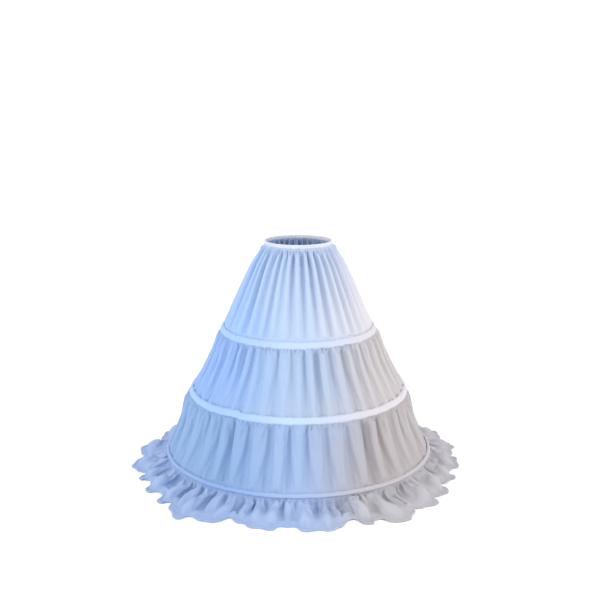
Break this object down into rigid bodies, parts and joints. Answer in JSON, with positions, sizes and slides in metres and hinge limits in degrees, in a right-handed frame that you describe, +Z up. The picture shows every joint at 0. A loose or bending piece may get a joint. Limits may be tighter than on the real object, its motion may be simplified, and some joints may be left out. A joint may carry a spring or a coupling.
{
  "type": "hoop petticoat",
  "caption": "Child's hoop petticoat: gathered tiers on an elastic waist, held out by sprung hoops in tape casings, with a ruffled hem.",
  "frame": {"origin": "on the floor at the middle of the hem", "axes": "+Z up through the waist, -Y to the front, +X to the right as seen from the front"},
  "size_m": [0.9479, 0.948, 0.65],
  "materials": {
    "waistband_cloth": "matt woven binding",
    "tier_cloth": "matt taffeta lining cloth",
    "ruffle_cloth": "matt taffeta lining cloth",
    "casing_tape": "smooth twill tape",
    "elastic": "braided elastic",
    "coated_steel": "white plastic coat",
    "crimped_steel": "crimped bright steel"
  },
  "bodies": {
    "root": {"waistband": "waistband_cloth", "waist_elastic": "elastic", "upper_tier": "tier_cloth", "middle_tier": "tier_cloth", "lower_tier": "tier_cloth", "hem_ruffle": "ruffle_cloth", "upper_casing_tape": "casing_tape", "upper_hoop_bone": "coated_steel", "upper_hoop_ferrule": "crimped_steel", "middle_casing_tape": "casing_tape", "middle_hoop_bone": "coated_steel", "middle_hoop_ferrule": "crimped_steel", "lower_casing_tape": "casing_tape", "lower_hoop_bone": "coated_steel", "lower_hoop_ferrule": "crimped_steel"}
  },
  "joints": []
}
